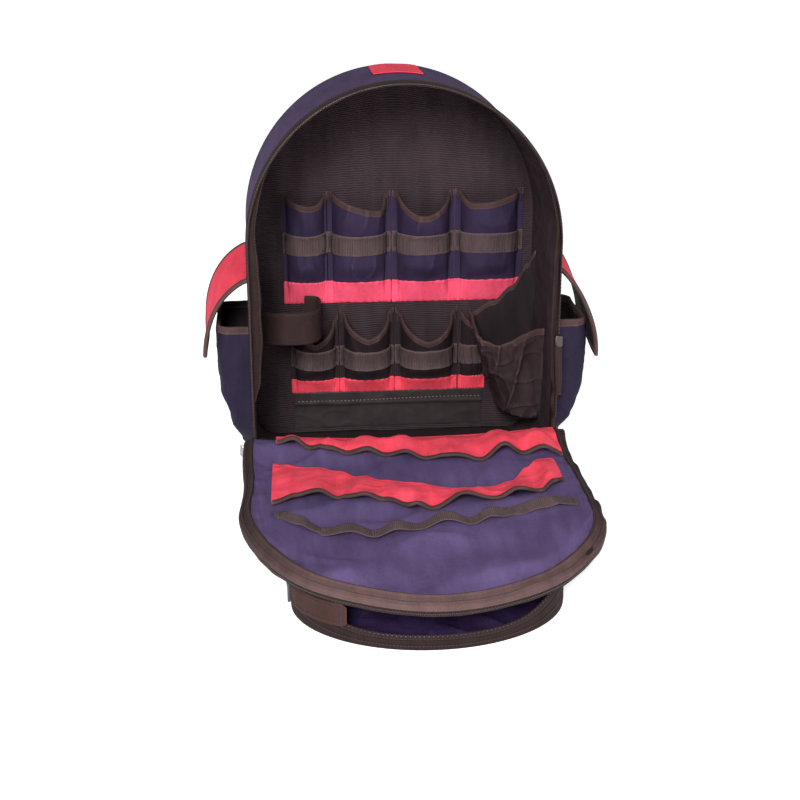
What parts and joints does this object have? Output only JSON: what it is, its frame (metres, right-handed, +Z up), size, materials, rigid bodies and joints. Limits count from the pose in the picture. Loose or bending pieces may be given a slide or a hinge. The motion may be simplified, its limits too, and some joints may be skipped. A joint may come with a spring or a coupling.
{
  "type": "tool backpack",
  "caption": "Arch-shaped fabric tool backpack standing with its clamshell door lying open on the front pocket, with wall, corner, side and door pockets.",
  "frame": {"origin": "middle of the underside of the base panel, on the surface that the backpack stands on", "axes": "+X to the viewer's right, +Y to the back, where the shoulder straps are, +Z up. The open door lies towards -Y"},
  "size_m": [0.4852, 0.649, 0.4914],
  "materials": {
    "navy_fabric": "navy woven polyester with a slight purple sheen",
    "red_fabric": "bright red woven polyester",
    "black_fabric": "black ribbed polyester",
    "coated_fabric": "black coated cloth, slightly glossy",
    "binding": "brown-black ribbed binding tape",
    "elastic": "brown-black woven elastic",
    "webbing": "dark brown-black webbing",
    "zip_tape": "brown-black zip tape",
    "zip_coil": "dark nylon coil",
    "plastic": "black moulded plastic, satin",
    "metal": "dull nickel plate"
  },
  "bodies": {
    "root": {"gusset": "navy_fabric", "rim_tape": "zip_tape", "rim_zipper": "zip_coil", "base_panel": "black_fabric", "front_sill": "black_fabric", "back_panel": "black_fabric", "back_piping": "binding", "top_yoke": "red_fabric", "haul_loop": "webbing", "shoulder_strap_left": "black_fabric", "shoulder_strap_right": "black_fabric", "ladder_lock_left": "plastic", "ladder_lock_right": "plastic", "strap_webbing_left": "webbing", "strap_webbing_right": "webbing", "upper_pocket_1": "navy_fabric", "upper_pocket_2": "navy_fabric", "upper_pocket_3": "navy_fabric", "upper_pocket_4": "navy_fabric", "upper_binding": "binding", "upper_elastic": "elastic", "upper_red_band": "red_fabric", "lower_pocket_1": "black_fabric", "lower_pocket_2": "black_fabric", "lower_pocket_3": "black_fabric", "lower_pocket_4": "black_fabric", "lower_binding": "binding", "lower_elastic": "elastic", "lower_red_band": "red_fabric", "wall_strip": "coated_fabric", "corner_pocket_back": "black_fabric", "corner_pocket": "black_fabric", "corner_binding": "binding", "tool_strap": "webbing", "side_pocket_left": "navy_fabric", "side_binding_left": "binding", "side_flap_left": "red_fabric", "side_pocket_right": "navy_fabric", "side_binding_right": "binding", "side_flap_right": "red_fabric", "door_panel": "navy_fabric", "door_band": "zip_tape", "door_zipper": "zip_coil", "door_hinge": "black_fabric", "door_pocket_upper": "red_fabric", "door_pocket_lower": "red_fabric", "door_elastic": "elastic", "front_pocket_panel": "navy_fabric", "front_pocket_wall": "navy_fabric", "front_pocket_rim": "zip_tape", "side_tab": "webbing", "tab_loop": "plastic", "zipper_slider_left": "metal", "zipper_slider_right": "metal", "zipper_pull": "webbing"}
  },
  "joints": []
}
